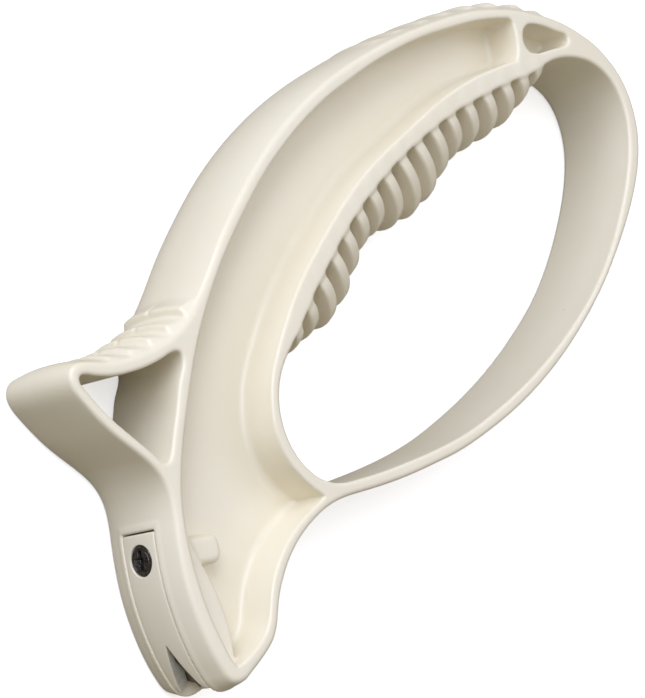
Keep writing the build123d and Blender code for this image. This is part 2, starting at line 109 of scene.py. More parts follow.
# inner edge of the housing that backs the blade holder, lower than the rim
HOUSING_EDGE = [(-37.6, 2.9), (-40.0, 0.1), (-41.2, -2.7), (-41.8, -5.7), (-42.6, -8.9), (-44.0, -12.3),
                (-45.6, -15.3), (-47.6, -17.9), (-49.1, -19.7)]
POCKET_BELLY = [(-50.9, -18.2), (-49.2, -18.8), (-46.5, -19.2), (-43.4, -19.2), (-41.0, -18.5),
                (-38.6, -17.0), (-35.8, -15.4), (-33.2, -14.5), (-30.5, -13.9), (-27.6, -13.7),
                (-24.4, -13.8), (-21.5, -14.2), (-18.0, -14.9)]
POCKET_NECK = [(-18.0, -14.9), (-18.6, -12.6), (-19.0, -9.9), (-19.1, -7.2), (-18.6, -4.3),
               (-17.4, -1.5), (-15.7, 0.7), (-13.9, 2.4), (-11.6, 4.1), (-8.8, 5.5),
               (-5.2, 6.9), (0.1, 8.6), (6.9, 10.1), (14.5, 11.0), (21.0, 11.5), (27.4, 11.6),
               (34.0, 11.1), (42.9, 9.7), (48.7, 8.7), (54.2, 7.6), (59.2, 6.2), (64.3, 4.4),
               (69.3, 2.2), (73.4, 0.2)]
POCKET_END = [(73.4, 0.2), (74.6, 0.7), (76.2, 2.1), (77.7, 4.0), (78.3, 5.4), (77.7, 6.3)]
TEARDROP = [(78.9, 2.2), (77.8, 1.2), (77.3, 0.0), (77.6, -1.3), (78.8, -2.5), (81.3, -3.9),
            (83.9, -5.3), (85.6, -6.1), (86.8, -6.1), (87.2, -5.3), (86.2, -3.6), (84.8, -1.6),
            (83.2, 0.4), (82.0, 1.6), (80.5, 2.4)]
THUMB_HOLE = [(-22.0, 18.6), (-21.7, 19.4), (-22.3, 20.2), (-24.6, 21.1), (-26.8, 21.9), (-28.8, 22.8),
              (-30.6, 23.8), (-32.4, 24.9), (-33.9, 26.0), (-35.4, 27.3), (-36.6, 28.6),
              (-37.7, 29.8), (-38.6, 30.2), (-39.2, 29.6), (-39.4, 28.2), (-39.4, 25.9),
              (-39.2, 23.0), (-38.8, 20.2), (-38.3, 17.6), (-37.8, 15.0), (-37.4, 12.6),
              (-37.1, 11.2), (-36.3, 10.6), (-35.3, 10.8), (-33.0, 12.1), (-30.4, 13.6),
              (-27.7, 15.2), (-25.1, 16.8)]

AX = (-46.25, 0.95)          # screw head centre on the crowned front face
ADIR = (0.790, -0.613)       # screw axis, into the body
TDIR = (-0.613, -0.790)      # along the face, towards the tip
SLOT_M = (-54.3, -17.6)      # mouth of the V slot
SLOT_UP = (0.220, 0.9755)
SLOT_IN = (0.9755, -0.220)
SLOT_H, SLOT_W = 7.1, 4.7
CARBIDE_T, CARBIDE_W, CARBIDE_L, CARBIDE_LEAN, CARBIDE_D1, V_APEX = 1.2, 2.6, 6.4, 22.0, 0.85, 0.4


# ------------------------------------------------------------------ curves
def spline(pts, step=0.5, closed=False):
    """A smooth curve through the points, by a cubic spline over chord length."""
    p = np.array(pts, float)
    if closed:
        p = np.vstack([p[-3:], p, p[:4]])
    d = np.hypot(*np.diff(p, axis=0).T)
    t = np.concatenate([[0], np.cumsum(d)])
    n = len(p)
    a = np.zeros((n, n))
    r = np.zeros((n, 2))
    a[0, 0] = a[-1, -1] = 1
    for i in range(1, n - 1):
        a[i, i - 1], a[i, i], a[i, i + 1] = d[i - 1], 2 * (d[i - 1] + d[i]), d[i]
        r[i] = 6 * ((p[i + 1] - p[i]) / d[i] - (p[i] - p[i - 1]) / d[i - 1])
    m = np.linalg.solve(a, r)
    lo, hi = (t[3], t[n - 4]) if closed else (0, t[-1])
    u = np.linspace(lo, hi, max(3, int((hi - lo) / step) + 1))
    if closed:
        u = u[:-1]
    k = np.clip(np.searchsorted(t, u, side="right") - 1, 0, n - 2)
    h, x0, x1 = d[k][:, None], (t[k + 1] - u)[:, None], (u - t[k])[:, None]
    return (m[k] * x0 ** 3 + m[k + 1] * x1 ** 3) / (6 * h) \
        + (p[k] / h - m[k] * h / 6) * x0 + (p[k + 1] / h - m[k + 1] * h / 6) * x1


def chain(*lists):
    """Several curves end to end as one closed polygon, and the arc length where each starts."""
    parts, starts, s = [], [], 0.0
    for pts in lists:
        c = spline(pts)
        starts.append(s)
        s += np.hypot(*np.diff(c, axis=0).T).sum()
        parts.append(c[:-1])
    return np.vstack(parts), starts + [s]


def offset_curve(pts, dist):
    out = []
    for i, (x, y) in enumerate(pts):
        x0, y0 = pts[max(i - 1, 0)]
        x1, y1 = pts[min(i + 1, len(pts) - 1)]
        dx, dy = x1 - x0, y1 - y0
        n = math.hypot(dx, dy)
        out.append((x + dy / n * dist, y - dx / n * dist))
    return out


def field(poly, X, Y):
    """Signed distance to a closed polygon (negative inside) and the arc length of the nearest point."""
    d2 = np.full(X.shape, 1e9, np.float32)
    arc = np.zeros(X.shape, np.float32)
    inside = np.zeros(X.shape, bool)
    s, n = 0.0, len(poly)
    for i in range(n):
        x0, y0 = poly[i]
        x1, y1 = poly[(i + 1) % n]
        ex, ey = x1 - x0, y1 - y0
        ll = math.hypot(ex, ey)
        if ll < 1e-9:
            continue
        t = np.clip(((X - x0) * ex + (Y - y0) * ey) / (ll * ll), 0, 1)
        q = (X - x0 - t * ex) ** 2 + (Y - y0 - t * ey) ** 2
        near = q < d2
        d2[near] = q[near]
        arc[near] = s + t[near] * ll
        if y0 != y1:
            inside ^= ((y0 > Y) != (y1 > Y)) & (X < (x1 - x0) * (Y - y0) / (y1 - y0) + x0)
        s += ll
    d = np.sqrt(d2)
    return np.where(inside, -d, d).astype(np.float32), arc


def both(a, b, r=0.0):
    """Intersection of two solids, its edge rounded to radius r."""
    if r <= 0:
        return np.maximum(a, b)
    return np.minimum(np.maximum(a, b), -r) + np.sqrt(np.maximum(a + r, 0) ** 2 + np.maximum(b + r, 0) ** 2)


def join(a, b, r=0.0):
    """Union of two solids, its inner corner filled to radius r."""
    if r <= 0:
        return np.minimum(a, b)
    return np.maximum(np.minimum(a, b), r) - np.sqrt(np.maximum(r - a, 0) ** 2 + np.maximum(r - b, 0) ** 2)


def smooth(x, lo, hi):
    t = np.clip((x - lo) / (hi - lo), 0, 1)
    return t * t * (3 - 2 * t)


def to_mesh(name, dist, origin, step, axes=None, limit=None):
    """The zero surface of a distance grid as a Blender object. origin and step in mm of the grid's
    own frame, axes a function from that frame to drawing millimetres (x, y, z)."""
    band = 3 * step
    grid = openvdb.FloatGrid(band)
    grid.copyFromArray(np.ascontiguousarray(np.clip(dist, -band, band).astype(np.float32)))
    pts, quads = grid.convertToQuads(isovalue=0.0)
    pts = pts.astype(float) * step + np.array(origin)
    # slide every vertex onto the true zero surface, and return the unit gradient there
    grad = [g.astype(np.float32) for g in np.gradient(dist, step)]
    for _ in range(2):
        d = sample(dist, pts, origin, step)
        g = np.stack([sample(c, pts, origin, step) for c in grad], 1)
        n2 = np.maximum((g * g).sum(1), 0.25)
        move = -(d / n2)[:, None] * g
        far = np.linalg.norm(move, axis=1) > step * 0.6
        move[far] *= 0
        pts += move * 0.8
    g = np.stack([sample(c, pts, origin, step) for c in grad], 1)
    g /= np.maximum(np.linalg.norm(g, axis=1), 1e-6)[:, None]
    if axes:
        g = axes(g, True)
        pts = axes(pts, False)
    quads = quads[:, ::1]
    verts = np.stack([(pts[:, 0] - CX) / 1000, (pts[:, 1] - CY) / 1000, pts[:, 2] / 1000], 1)
    mesh = bpy.data.meshes.new(name)
    mesh.from_pydata(verts.tolist(), [], quads.tolist())
    mesh.update()
    mesh.shade_smooth()
    obj = bpy.data.objects.new(name, mesh)
    bpy.context.scene.collection.objects.link(obj)
    return obj, g


def sample(a, pts, origin, step):
    """Trilinear reading of a grid at points given in the grid's frame."""
    q = (pts - np.array(origin)) / step
    i = np.clip(np.floor(q).astype(int), 0, np.array(a.shape) - 2)
    f = np.clip(q - i, 0, 1)
    x, y, z = i.T
    fx, fy, fz = f.T
    out = 0
    for dx in (0, 1):
        for dy in (0, 1):
            for dz in (0, 1):
                out = out + a[x + dx, y + dy, z + dz] * (fx if dx else 1 - fx) * (fy if dy else 1 - fy) * (fz if dz else 1 - fz)
    return out


# ------------------------------------------------------------------ outer surface of the moulding
OUTLINE, STARTS = chain(SPINE, THUMB_TOP, FRONT, TIP, BELLY, STRAP_OUT)
ARCS = np.concatenate([[0], np.cumsum(np.hypot(*np.diff(np.vstack([OUTLINE, OUTLINE[:1]]), axis=0).T))])


def arc_of(x, y):
    """Arc length along the outline of the point nearest to (x, y)."""
    k = np.argmin((OUTLINE[:, 0] - x) ** 2 + (OUTLINE[:, 1] - y) ** 2)
    return ARCS[k]


# how far the face bulges at mid plane, along the outline
BULGE = sorted([(arc_of(*p), c) for p, c in (
    ((86.2, -0.6), 2.1), ((81.1, 5.0), 2.3), ((75.5, 9.7), 1.9), ((69.0, 13.8), 1.35), ((60, 18.3), 1.15), ((45, 23.9), 1.15),
    ((29, 27.3), 1.3), ((-9.5, 23.0), 1.3), ((-18, 21.7), 1.5), ((-25, 23.3), 1.6), ((-33.6, 28.3), 1.4),
    ((-36.9, 31.4), 0.9), ((-38.4, 32.0), 0.6), ((-40.9, 29.8), 0.5), ((-41.0, 24.0), 0.25),
    ((-39.2, 14.0), 0.3), ((-39.4, 8.4), 0.9), ((-43.4, 2.7), 1.3), ((-50.3, -7.6), 1.3), ((-53.3, -17.4), 1.3),
    ((-52.3, -20.0), 1.2), ((-48.4, -20.9), 1.2), ((-42.5, -20.9), 1.1), ((-37.3, -18.2), 0.5), ((-27.0, -15.3), 0.25),
    ((0, -26.9), 0.2), ((59, -38.3), 0.2), ((89.6, -25.6), 0.25), ((92.4, -14.0), 0.5), ((90.2, -6.9), 1.2))])
BULGE = [(BULGE[-1][0] - ARCS[-1], BULGE[-1][1])] + BULGE + [(BULGE[0][0] + ARCS[-1], BULGE[0][1])]
PALM_ARCS = [arc_of(x, y) for x, y in PALM_RIBS]
PALM_HEIGHT = [0.22, 0.25, 0.3, 0.38, 0.5, 0.7, 0.75, 0.7, 0.5]
THUMB_S0, THUMB_PITCH, THUMB_N = arc_of(-12.0, 22.4), 4.5, 5


def relief(arc, w):
    """Height of the outer face above the rim line: the bulge, the palm ribs and the thumb steps."""
    aw = np.abs(w)
    c = np.interp(arc, [a for a, _ in BULGE], [b for _, b in BULGE]).astype(np.float32)
    h = c * (1 - (aw / HALF) ** 2.4)
    # palm ribs, each a low rounded bar across the middle
    env = 1 - smooth(aw, 4.9, 6.1)
    for s, top in zip(PALM_ARCS, PALM_HEIGHT):
        for k in (-ARCS[-1], 0, ARCS[-1]):
            u = (arc - s + k) / 2.0
            h = h + top * env * np.clip(1 - u * u, 0, 1) ** 1.4
    # thumb steps, rising towards the tip and dropping back sharply
    u = (arc - THUMB_S0) / THUMB_PITCH
    on = (u > 0) & (u < THUMB_N)
    f = u % 1.0
    saw = np.where(f < 0.8, smooth(f, 0.0, 0.8), 1 - smooth(f, 0.8, 1.0))
    fade = (1 - smooth(aw, 6.6, 7.8)) * (0.72 + 0.28 * smooth(aw, 0.1, 0.7)) * (1 - 0.45 * smooth(u, 2.6, 4.6))
    h = h + np.where(on, 1.0 * saw * fade, 0)
    return h


# how far each fin reaches below the grip line at mid plane
FINS = []
for gx in FIN_AT:
    gy = np.interp(gx, *zip(*sorted(GRIP_LINE)))
    FINS.append((gx, max(2.2, gy - np.interp(gx, *zip(*sorted(FIN_TIPS))))))
FIN_T, LEDGE, BOSS_W = 2.3, 5.2, 4.4


def handle_distance(X, Y, W, fins=True):
    """Signed distance of the moulding at 2-D points X, Y (n, m, 1) and heights W (k) from mid plane."""
    x2, y2 = X[:, :, 0], Y[:, :, 0]
    d_out, arc = field(OUTLINE, x2, y2)
    d_hole, _ = field(np.vstack([spline(HOLE_LEFT)[:-1], spline(HOLE_STRAP)[:-1], spline(GRIP_LINE)[:-1]]), x2, y2)
    d_thumb, _ = field(spline(THUMB_HOLE, closed=True), x2, y2)
    d_pocket, _ = field(np.vstack([spline(c)[:-1] for c in (POCKET_TOP, POCKET_FRONT, POCKET_BELLY, POCKET_NECK, POCKET_END)]), x2, y2)
    d_tear, _ = field(spline(TEARDROP, closed=True), x2, y2)
    e = lambda a: a[:, :, None]
    aw = np.abs(W)
    body = both(e(d_out) - relief(e(arc), W), aw - HALF, 0.55)
    body = both(body, -e(d_hole), 0.45)
    body = both(body, -e(d_thumb), 0.45)
    draft = 0.03 * (HALF - aw)
    for d, r in ((d_pocket, 1.1), (d_tear, 0.7)):
        void = both(e(d) + draft, WEB / 2 - aw, r)
        body = both(body, -void, 0.3)
    # web behind the fins
    env = np.array([(x, y + 1.6) for x, y in sorted(FIN_TIPS)] + [(80.5, -5.0)] + [(x, y + 1.0) for x, y in GRIP_LINE] + [(-4.0, 4.2)])
    d_env, _ = field(env, x2, y2)
    body = join(body, both(e(d_env), aw - WEB / 2, 0.6), 0.6)
    # fins
    xs, ys = X[:, 0, 0], Y[0, :, 0]
    for gx, reach in FINS:
        gy = np.interp(gx, *zip(*sorted(GRIP_LINE)))
        i0, i1 = np.searchsorted(xs, [gx - 3.2, gx + 3.2])
        j0, j1 = np.searchsorted(ys, [gy - reach - 2.5, gy + 3.5])
        xx, yy = X[i0:i1, j0:j1], Y[i0:i1, j0:j1]
        a, s = gy - yy, np.abs(xx - gx)
        za = HALF - 0.3
        f = (a / reach) ** 2 + (W / za) ** 2 - 1
        g = 2 * np.sqrt((a / reach ** 2) ** 2 + (W / za ** 2) ** 2) + 1e-3
        ell = np.where(a > 0, f / g, aw - za)
        fin = both(both(ell, s - FIN_T / 2, 0.45), -a - 2.2, 0.3)
        body[i0:i1, j0:j1] = join(body[i0:i1, j0:j1], fin, 0.6)
    # screw boss
    al = (X - AX[0]) * ADIR[0] + (Y - AX[1]) * ADIR[1]
    ac = (X - AX[0]) * TDIR[0] + (Y - AX[1]) * TDIR[1]
    rad = np.sqrt(ac * ac + W * W)
    d_house, _ = field(HOUSING, x2, y2)
    house = both(e(d_house), aw - LEDGE, 0.6)
    boss = both(both(np.abs(al - 7.4) - 4.4, np.abs(ac) - BOSS_W / 2, 1.6), aw - LEDGE + 0.2, 1.0)
    body = join(body, join(house, boss, 0.5), 0.6)
    # seat for the holder, blade path and screw bore
    d_seat, _ = field(SEAT, x2, y2)
    # a low raised frame round the seat
    body = np.where(np.abs(np.maximum(e(d_seat), aw - INSERT_W / 2)) < 9,
                    body - 0.11 * (1 - smooth(np.maximum(e(d_seat), aw - INSERT_W / 2), 0.95, 1.3))
                    * (np.abs(e(d_out)) < 2.2), body)
    seat = np.maximum(e(d_seat), aw - INSERT_W / 2 - INSERT_GAP)
    body = both(body, -seat, 0.1)
    up = (X - SLOT_M[0]) * SLOT_UP[0] + (Y - SLOT_M[1]) * SLOT_UP[1]
    depth = (X - SLOT_M[0]) * SLOT_IN[0] + (Y - SLOT_M[1]) * SLOT_IN[1]
    path = np.maximum((aw - (0.9 - up) * 0.4348) * 0.917, 2.0 - depth)
    path = np.maximum(path, depth - 18)
    body = both(body, -path, 0.15)
    body = np.maximum(body, -np.maximum(rad - 1.38, al - 11.4))
    return body


HOLDER_RUN = [(-42.85, 3.40)] + FRONT[8:] + [(-53.3, -18.7)]
run_out = offset_curve(HOLDER_RUN, CROWN)
seat_out = offset_curve(HOLDER_RUN, CROWN + 3.0)
seat_in = offset_curve(HOLDER_RUN, CROWN - INSERT_DEPTH - INSERT_GAP)
TOP_GAP = 0.24
top = (run_out[0][0] - TDIR[0] * TOP_GAP, run_out[0][1] - TDIR[1] * TOP_GAP)
seat_out[0] = (top[0] - ADIR[0] * 3.0, top[1] - ADIR[1] * 3.0)
seat_in[0] = (top[0] + ADIR[0] * (INSERT_DEPTH + INSERT_GAP), top[1] + ADIR[1] * (INSERT_DEPTH + INSERT_GAP))
for curve in (seat_out, seat_in):
    (xa, ya), (xb, yb) = curve[-2], curve[-1]
    n = math.hypot(xb - xa, yb - ya)
    curve.append((xb + (xb - xa) / n * 5.0, yb + (yb - ya) / n * 5.0))
# the housing that backs the holder, lower than the rim
edge = offset_curve(FRONT[7:] + [(-53.1, -18.9)], -1.0)
HOUSING = np.vstack([spline(HOUSING_EDGE), spline(edge[::-1])])
SEAT = np.vstack([spline(seat_out), spline(seat_in)[::-1]])
hold_out = offset_curve(HOLDER_RUN, CROWN + 3.0)
hold_out[0] = (run_out[0][0] - ADIR[0] * 3.0, run_out[0][1] - ADIR[1] * 3.0)
hold_in = offset_curve(HOLDER_RUN, CROWN - INSERT_DEPTH)
hold_in[0] = (run_out[0][0] + ADIR[0] * INSERT_DEPTH, run_out[0][1] + ADIR[1] * INSERT_DEPTH)
HOLDER = np.vstack([spline(hold_out), spline(hold_in)[::-1]])


def mark(obj, test, index):
    """Gives material slot index to the faces whose centres (drawing mm) pass the test."""
    me = obj.data
    c = np.empty(len(me.polygons) * 3, np.float32)
    me.polygons.foreach_get("center", c)
    c = c.reshape(-1, 3) * 1000
    x, y, w = c[:, 0] + CX, c[:, 1] + CY, c[:, 2] - MID
    idx = np.empty(len(me.polygons), np.int32)
    me.polygons.foreach_get("material_index", idx)
    near = np.flatnonzero((x < -34) & (y < 9) & (np.abs(w) < 4.6))
    hit = near[test(x[near], y[near], w[near])]
    idx[hit] = index
    me.polygons.foreach_set("material_index", idx)


def in_seat(x, y, w):
    d_out, arc = field(OUTLINE, x[:, None], y[:, None])
    d_seat, _ = field(SEAT, x[:, None], y[:, None])
    below = d_out[:, 0] - relief(arc[:, 0], w)
    return (d_seat[:, 0] < 0.12) & (np.abs(w) < INSERT_W / 2 + INSERT_GAP + 0.14) & (below < -0.25) & (y > -14)


def in_slot(x, y, w):
    up = (x - SLOT_M[0]) * SLOT_UP[0] + (y - SLOT_M[1]) * SLOT_UP[1]
    d_out, arc = field(OUTLINE, x[:, None], y[:, None])
    below = d_out[:, 0] - relief(arc[:, 0], w)
    return (np.abs(w) < (SLOT_H - up) * SLOT_W / 2 / SLOT_H + 0.30) & (up < SLOT_H + 0.1) & (below < -0.18)


def block(x0, x1, y0, y1, w0, w1, step):
    xs = np.arange(x0, x1, step, dtype=np.float32)
    ys = np.arange(y0, y1, step, dtype=np.float32)
    ws = np.arange(w0, w1 + step / 2, step, dtype=np.float32)
    X, Y = np.meshgrid(xs, ys, indexing="ij")
    return X[:, :, None], Y[:, :, None], ws[None, None, :], (x0, y0, MID + w0)


def make_handle():
    n = int(math.ceil(9.0 / STEP))
    X, Y, W, origin = block(-59.0, 97.0, -43.0, 37.0, -n * STEP, 0.0, STEP)
    half = handle_distance(X, Y, W)
    full = np.concatenate([half, half[:, :, -2::-1]], 2)
    return to_mesh("handle_moulding", full, origin, STEP)


def make_holder():
    step = 0.11
    X, Y, W, origin = block(-58.0, -36.0, -22.0, 7.0, -4.4, 4.4, step)
    x2, y2 = X[:, :, 0], Y[:, :, 0]
    aw = np.abs(W)
    d_out, arc = field(OUTLINE, x2, y2)
    d_hold, _ = field(HOLDER, x2, y2)
    e = lambda a: a[:, :, None]
    face = e(d_out) - relief(e(arc), W)
    d = both(both(e(d_hold), aw - INSERT_W / 2, 0.25), face, 0.3)
    up = (X - SLOT_M[0]) * SLOT_UP[0] + (Y - SLOT_M[1]) * SLOT_UP[1]
    depth = (X - SLOT_M[0]) * SLOT_IN[0] + (Y - SLOT_M[1]) * SLOT_IN[1]
    k = SLOT_W / 2 / SLOT_H
    slot = (aw - (SLOT_H - up) * k - 0.15) * 0.95
    slot = np.maximum(slot, up - SLOT_H)
    d = both(d, -slot, 0.12)
    for lean, first in ((1, CARBIDE_D1), (-1, CARBIDE_D1 + CARBIDE_T)):
        a = math.radians(CARBIDE_LEAN)
        cu = V_APEX + math.cos(a) * 1.6 + math.sin(a) * CARBIDE_W / 2
        cw = lean * (-math.sin(a) * 1.6 + math.cos(a) * CARBIDE_W / 2)
        along = (up - cu) * math.cos(a) - (W - cw) * math.sin(a) * lean
        across = (up - cu) * math.sin(a) * lean + (W - cw) * math.cos(a)
        cell = np.maximum(np.abs(along) - CARBIDE_L / 2 - 0.03, np.abs(across) - CARBIDE_W / 2 - 0.03)
        cell = np.maximum(cell, np.maximum(first - depth, depth - first - 6))
        d = np.maximum(d, -cell)
    al = (X - AX[0]) * ADIR[0] + (Y - AX[1]) * ADIR[1]
    ac = (X - AX[0]) * TDIR[0] + (Y - AX[1]) * TDIR[1]
    rad = np.sqrt(ac * ac + W * W)
    head = np.maximum(rad - 2.42, al - 1.65)
    d = both(d, -head, 0.14)
    d = np.maximum(d, -(rad - 1.36))
    return to_mesh("holder_insert", d, origin, step)


def make_screw():
    step = 0.06
    u = np.arange(-2.7, 2.7 + step, step, dtype=np.float32)
    v = np.arange(-0.5, 11.6, step, dtype=np.float32)
    A, B, L = np.meshgrid(u, u, v, indexing="ij")
    rad = np.sqrt(A * A + B * B)
    # head: flat countersunk-style rim with a slightly domed top
    dome = -0.24 + 0.22 * (rad / 2.32) ** 2
    head = both(both(rad - 2.32, (dome - L) * 0.97, 0.22), L - 1.65, 0.12)
    # a shallow turned ring round the recess
    head = np.maximum(head, 0.10 - np.sqrt((rad - 1.80) ** 2 + (L - dome) ** 2))
    # cross recess, tapering to the bottom
    half = 0.40 - 0.10 * L
    reach = 1.5 - 0.45 * L
    arm = lambda p, q: np.maximum(np.abs(p) - half, np.abs(q) - reach)
    cross = np.minimum(arm(A, B), arm(B, A))
    cross = np.minimum(cross, rad - (0.75 - 0.25 * L))
    cross = np.maximum(cross, L - 1.25)
    head = both(head, -cross, 0.08)
    # thread
    ang = np.arctan2(B, A) / (2 * math.pi)
    ph = (L / 0.95 - ang) % 1.0
    tri = np.clip(1 - np.abs(ph - 0.5) * 3.2, 0, 1)
    end = np.clip((11.05 - L) / 1.3, 0.12, 1)
    outer = (0.95 + 0.34 * tri * smooth(L, 3.0, 3.6)) * end + 0.0 * L
    outer = np.where(L < 3.0, 1.05, outer)
    shank = np.maximum((rad - outer) * 0.8, L - 11.05)
    shank = np.maximum(shank, 0.8 - L)
    d = join(head, shank, 0.15)

    def axes(p, vec):
        x = p[:, 2] * ADIR[0] + p[:, 1] * TDIR[0]
        y = p[:, 2] * ADIR[1] + p[:, 1] * TDIR[1]
        z = p[:, 0]
        if not vec:
            x, y, z = x + AX[0], y + AX[1], z + MID
        return np.stack([x, y, z], 1)

    obj, n = to_mesh("cross_screw", d, (-2.7, -2.7, -0.5), step, axes)
    # the walls of the recess in lighter metal: a painted highlight for the glints there, with wear from the driver
    me = obj.data
    c = np.empty(len(me.polygons) * 3, np.float32)
    me.polygons.foreach_get("center", c)
    c = c.reshape(-1, 3) * 1000
    x, y, a = c[:, 0] + CX - AX[0], c[:, 1] + CY - AX[1], c[:, 2] - MID
    deep, b = x * ADIR[0] + y * ADIR[1], x * TDIR[0] + y * TDIR[1]
    lip = -0.24 + 0.22 * ((a * a + b * b) / 2.32 ** 2)
    in_arm = np.minimum(np.maximum(np.abs(a) - 0.46, np.abs(b) - 1.55), np.maximum(np.abs(b) - 0.46, np.abs(a) - 1.55)) < 0
    me.polygons.foreach_set("material_index", (in_arm & (deep > lip + 0.03) & (deep < 1.2)).astype(np.int32))
    return obj, n


# ------------------------------------------------------------------ materials
def material(name):
    m = bpy.data.materials.new(name)
    m.use_nodes = True
    nt = m.node_tree
    for n in list(nt.nodes):
        nt.nodes.remove(n)
    out = nt.nodes.new("ShaderNodeOutputMaterial")
    bsdf = nt.nodes.new("ShaderNodeBsdfPrincipled")
    nt.links.new(bsdf.outputs[0], out.inputs[0])
    return m, nt, bsdf


def node(nt, kind, **values):
    n = nt.nodes.new(kind)
    for k, v in values.items():
        if hasattr(n, k):
            setattr(n, k, v)
        else:
            n.inputs[k.replace("_", " ")].default_value = v
    return n


def ramp(nt, source, stops):
    r = nt.nodes.new("ShaderNodeValToRGB")
    el = r.color_ramp.elements
    while len(el) < len(stops):
        el.new(0.5)
    for e, (pos, col) in zip(el, stops):
        e.position = pos
        e.color = (*col, 1) if len(col) == 3 else col
    nt.links.new(source, r.inputs[0])
    return r.outputs[0]


def calc(nt, op, a, b=None, c=None):
    n = nt.nodes.new("ShaderNodeMath")
    n.operation = op
    for i, v in enumerate((a, b, c)):
        if v is None:
            continue
        if isinstance(v, (int, float)):
            n.inputs[i].default_value = v
        else:
            nt.links.new(v, n.inputs[i])
    return n.outputs[0]


def blend_colour(nt, fac, a, b, mode="MIX"):
    n = nt.nodes.new("ShaderNodeMix")
    n.data_type = "RGBA"
    n.blend_type = mode
    for sock, v in ((n.inputs[0], fac), (n.inputs[6], a), (n.inputs[7], b)):
        if isinstance(v, (int, float)):
            sock.default_value = v
        elif isinstance(v, tuple):
            sock.default_value = (*v, 1)
        else:
            nt.links.new(v, sock)
    return n.outputs[2]


def ivory(name, tone=1.0, rough=0.30, seam=True):
    """Glossy moulded ivory plastic: faint mottling, dust specks, a fine parting line, a soft grain."""
    m, nt, bsdf = material(name)
    co = nt.nodes.new("ShaderNodeTexCoord").outputs["Object"]
    mottle = node(nt, "ShaderNodeTexNoise", Scale=38.0, Detail=2.0, Roughness=0.55)
    fine = node(nt, "ShaderNodeTexNoise", Scale=420.0, Detail=3.0, Roughness=0.6)
    grain = node(nt, "ShaderNodeTexNoise", Scale=2600.0, Detail=2.0, Roughness=0.5)
    for n in (mottle, fine, grain):
        nt.links.new(co, n.inputs["Vector"])
    warm = tuple(c * tone for c in (0.815, 0.755, 0.596))
    pale = tuple(c * tone for c in (0.825, 0.768, 0.622))
    base = blend_colour(nt, ramp(nt, mottle.outputs["Fac"], [(0.32, (0, 0, 0)), (0.68, (1, 1, 1))]), warm, pale)
    # dust and dark specks, one in a few cells, a tenth to a quarter of a millimetre across
    cells = node(nt, "ShaderNodeTexVoronoi", Scale=150.0, Randomness=1.0)
    nt.links.new(co, cells.inputs["Vector"])
    sep = nt.nodes.new("ShaderNodeSeparateColor")
    nt.links.new(cells.outputs["Color"], sep.inputs[0])
    size = calc(nt, "MULTIPLY", sep.outputs[1], 0.026)
    dot = calc(nt, "LESS_THAN", cells.outputs["Distance"], size)
    dot = calc(nt, "MULTIPLY", dot, calc(nt, "GREATER_THAN", sep.outputs[0], 0.86))
    base = blend_colour(nt, calc(nt, "MULTIPLY", dot, 0.75), base, (0.16, 0.11, 0.075))
    # rub marks that only change the gloss a little
    rub = node(nt, "ShaderNodeTexNoise", Scale=45.0, Detail=3.0, Roughness=0.5, Distortion=0.3)
    nt.links.new(co, rub.inputs["Vector"])
    r = calc(nt, "ADD", calc(nt, "MULTIPLY", fine.outputs["Fac"], 0.03), rough - 0.03)
    r = calc(nt, "ADD", r, calc(nt, "MULTIPLY", ramp(nt, rub.outputs["Fac"], [(0.50, (0, 0, 0)), (0.75, (1, 1, 1))]), 0.03))
    nt.links.new(r, bsdf.inputs["Roughness"])
    height = calc(nt, "ADD", calc(nt, "MULTIPLY", grain.outputs["Fac"], 0.10), calc(nt, "MULTIPLY", mottle.outputs["Fac"], 1.0))
    if seam:
        pos = nt.nodes.new("ShaderNodeSeparateXYZ")
        nt.links.new(co, pos.inputs[0])
        off = calc(nt, "ABSOLUTE", calc(nt, "SUBTRACT", pos.outputs["Z"], 0.0080))
        line = ramp(nt, calc(nt, "MULTIPLY", off, 4000.0), [(0.0, (1, 1, 1)), (0.45, (0, 0, 0))])
        height = calc(nt, "ADD", height, calc(nt, "MULTIPLY", line, 1.6))
        base = blend_colour(nt, calc(nt, "MULTIPLY", line, 0.10), base, (0.62, 0.55, 0.42))
    bump = node(nt, "ShaderNodeBump", Strength=0.22, Distance=0.00003)
    nt.links.new(height, bump.inputs["Height"])
    nt.links.new(bump.outputs[0], bsdf.inputs["Normal"])
    nt.links.new(base, bsdf.inputs["Base Color"])
    bsdf.inputs["Subsurface Weight"].default_value = 0.06
    bsdf.inputs["Subsurface Radius"].default_value = (1.0, 0.62, 0.34)
    bsdf.inputs["Subsurface Scale"].default_value = 0.0014
    bsdf.inputs["IOR"].default_value = 1.49
    return m


def steel(name, dark, middle, bright, metallic):
    m, nt, bsdf = material(name)
    co = nt.nodes.new("ShaderNodeTexCoord").outputs["Object"]
    n1 = node(nt, "ShaderNodeTexNoise", Scale=1600.0, Detail=5.0, Roughness=0.7)
    n2 = node(nt, "ShaderNodeTexNoise", Scale=5200.0, Detail=3.0, Roughness=0.6)
    for n in (n1, n2):
        nt.links.new(co, n.inputs["Vector"])
    col = ramp(nt, n1.outputs["Fac"], [(0.35, dark), (0.58, middle), (0.74, bright)])
    nt.links.new(col, bsdf.inputs["Base Color"])
    nt.links.new(calc(nt, "ADD", calc(nt, "MULTIPLY", n2.outputs["Fac"], 0.25), 0.15), bsdf.inputs["Roughness"])
    bump = node(nt, "ShaderNodeBump", Strength=0.5, Distance=0.00003)
    nt.links.new(n1.outputs["Fac"], bump.inputs["Height"])
    nt.links.new(bump.outputs[0], bsdf.inputs["Normal"])
    bsdf.inputs["Metallic"].default_value = metallic
    return m


